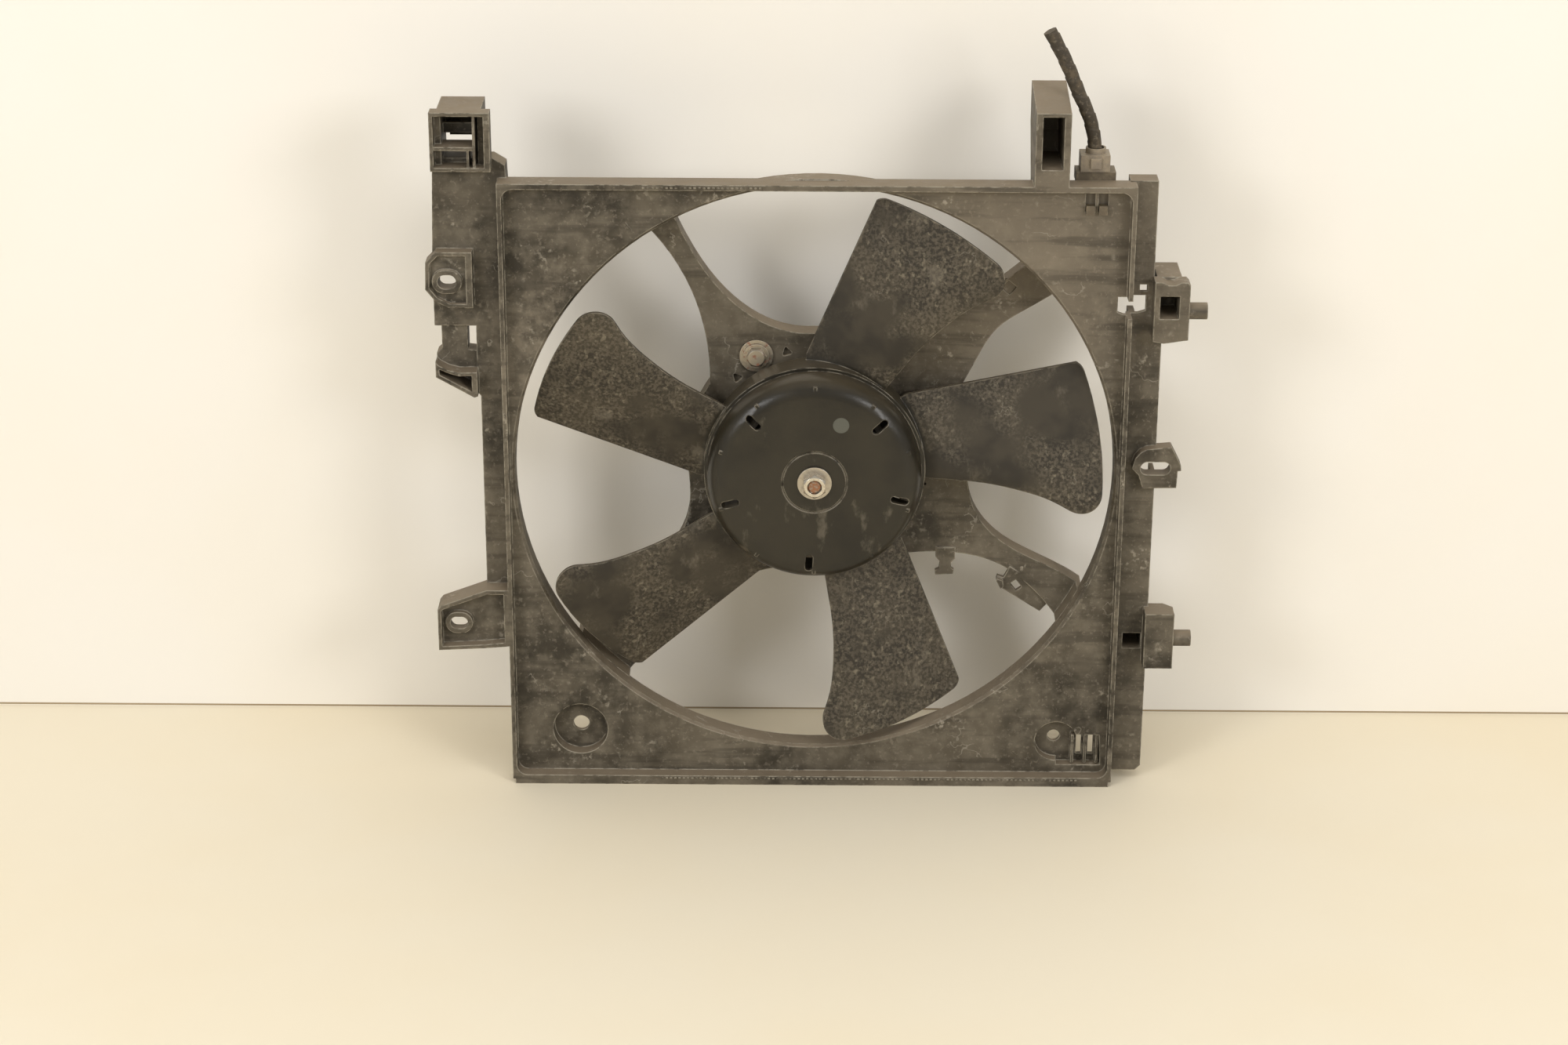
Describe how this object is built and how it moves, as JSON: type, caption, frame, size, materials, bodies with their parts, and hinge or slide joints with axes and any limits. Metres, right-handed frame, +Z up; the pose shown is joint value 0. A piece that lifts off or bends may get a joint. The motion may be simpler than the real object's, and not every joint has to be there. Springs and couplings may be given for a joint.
{
  "type": "radiator fan shroud",
  "caption": "Flat rectangular moulded fan shroud with a round opening, a bladed axial fan on an electric motor held by curved arms, side brackets and tabs, and a short wiring loom.",
  "frame": {"origin": "on the fan axis, in the plane of the shroud's front rim, the side that faces the radiator", "axes": "+X to the right seen from the front, +Y rearwards along the fan axis, +Z up"},
  "size_m": [0.4212, 0.106, 0.4351],
  "materials": {
    "shroud_plastic": "moulded glass-filled nylon, black, dusty and scuffed",
    "fan_plastic": "moulded polypropylene, black, semi-gloss hub, dusty blades",
    "zinc_insert": "die-cast insert",
    "plated_nut": "zinc-plated, bright flats",
    "washer_steel": "zinc-plated, dulled",
    "shaft_steel": "ground steel, rusty end",
    "motor_steel": "black-painted pressed steel",
    "ferrite": "sintered ferrite",
    "lamination_steel": "stacked laminations",
    "enamelled_copper": "enamelled copper wire",
    "sintered_bronze": "oil-filled sintered bronze",
    "commutator_copper": "copper segments, turned",
    "phenolic": "brown phenolic moulding",
    "carbon": "pressed graphite",
    "spring_steel": "rolled spring strip",
    "grommet_rubber": "moulded rubber",
    "rusty_screw": "zinc-plated steel gone rusty",
    "connector_grey": "dark grey connector nylon",
    "tinned_terminal": "tinned brass blades",
    "plug_grey": "mid grey connector nylon",
    "loom_tape": "PVC-taped wiring loom"
  },
  "bodies": {
    "frame": {"shroud": "shroud_plastic", "motor_front_cover": "motor_steel", "motor_case": "motor_steel", "magnet_upper": "ferrite", "magnet_lower": "ferrite", "front_bush": "sintered_bronze", "rear_bush": "sintered_bronze", "brush_holder": "phenolic", "carbon_brushes": "carbon", "brush_springs": "spring_steel", "motor_lead_grommet": "grommet_rubber", "motor_screws": "rusty_screw", "screw_washers": "rusty_screw", "receptacle": "connector_grey", "receptacle_terminals": "tinned_terminal", "harness_plug": "plug_grey", "loom_stub": "loom_tape"},
    "fan": {"fan": "fan_plastic", "hub_insert": "zinc_insert", "fan_nut": "plated_nut", "fan_washer": "washer_steel", "shaft": "shaft_steel", "armature_core": "lamination_steel", "windings": "enamelled_copper", "commutator": "commutator_copper"}
  },
  "joints": [
    {"name": "fan_spin", "type": "hinge", "parent": "frame", "child": "fan", "pos_m": [0, 0, 0], "axis": [0, 1, 0], "continuous": true}
  ]
}
